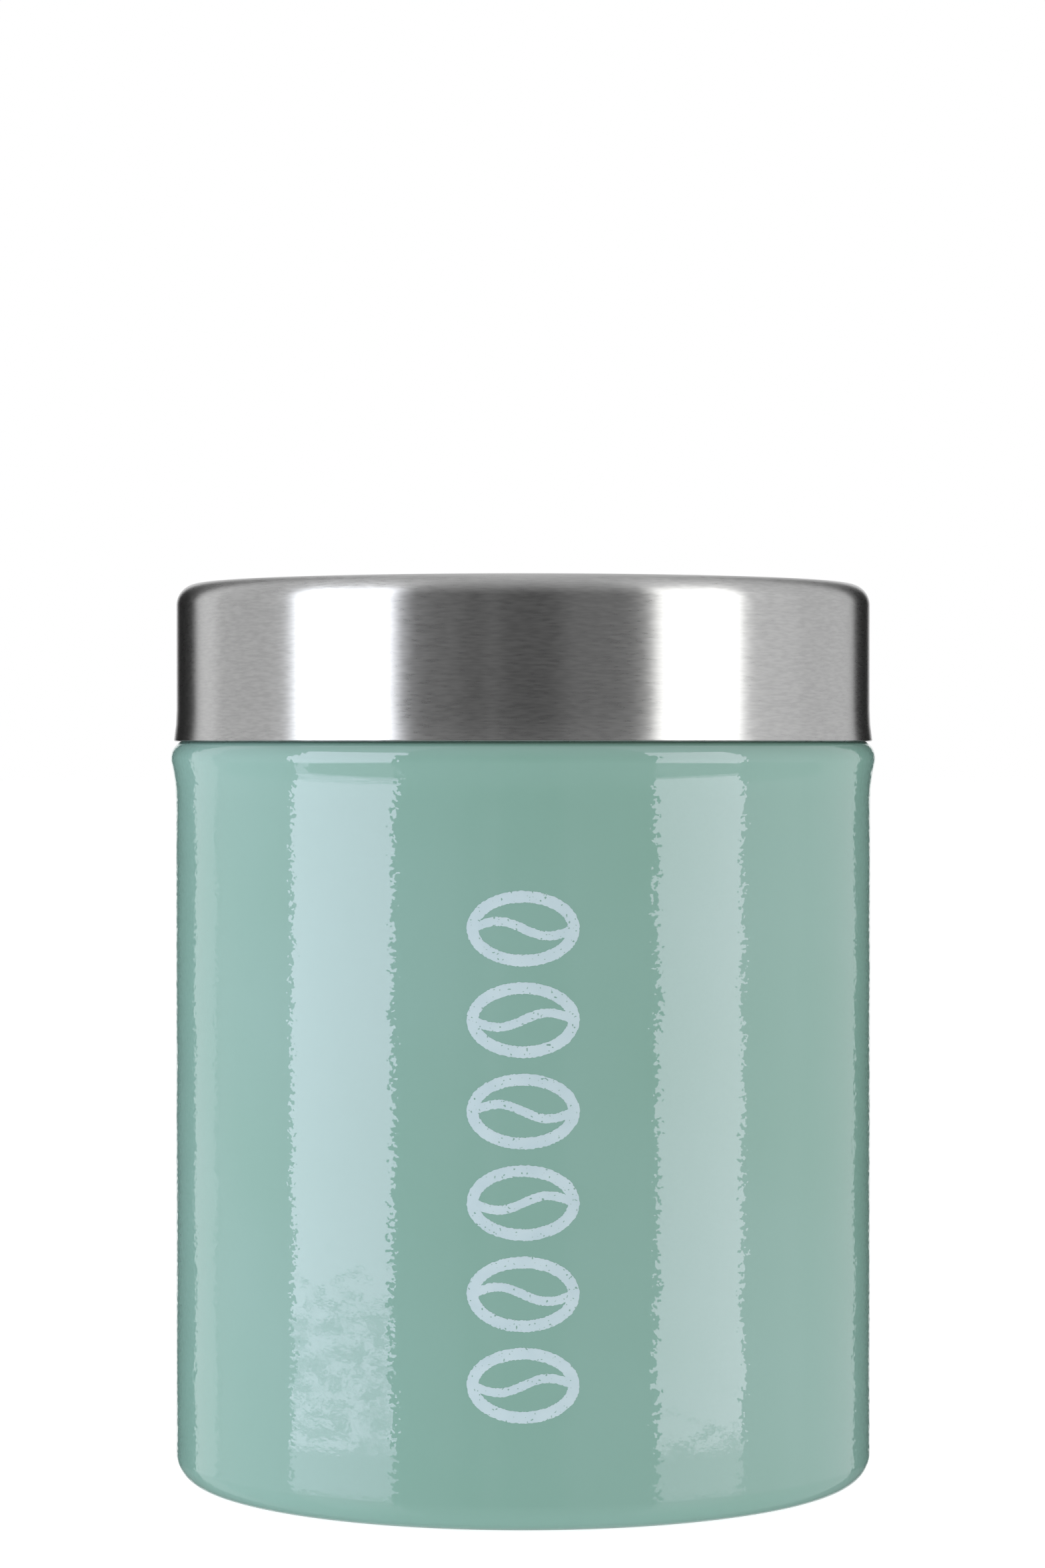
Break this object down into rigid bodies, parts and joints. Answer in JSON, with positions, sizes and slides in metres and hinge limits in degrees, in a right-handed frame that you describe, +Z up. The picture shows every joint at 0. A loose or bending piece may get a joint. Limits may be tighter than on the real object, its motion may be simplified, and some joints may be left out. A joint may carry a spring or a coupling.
{
  "type": "coffee tin",
  "caption": "Round enamelled steel storage tin with a shoulder bead, and a brushed steel push-on lid with a soft seal that lifts off.",
  "frame": {"origin": "centre of the base, on the surface that the tin stands on", "axes": "+Z up along the tin's own axis; the printed side faces -Y and +X is to its right"},
  "size_m": [0.1106, 0.1106, 0.14],
  "materials": {
    "enamel": "glossy mint-green enamel on sheet steel, slightly uneven",
    "print_ink": "pale screen-printed ink on the enamel",
    "lid_steel": "stainless steel, brushed round the skirt and the top",
    "dish_steel": "plain rolled stainless steel, satin",
    "adhesive": "set adhesive film",
    "silicone": "translucent white silicone, satin"
  },
  "bodies": {
    "canister": {"body_wall": "enamel", "base_pan": "enamel"},
    "lid": {"lid_shell": "lid_steel", "lid_dish": "dish_steel", "lid_bond": "adhesive", "lid_seal": "silicone"}
  },
  "joints": [
    {"name": "lid_lift", "type": "slide", "parent": "canister", "child": "lid", "axis": [0, 0, 1], "range_m": [0, 0.08]}
  ]
}
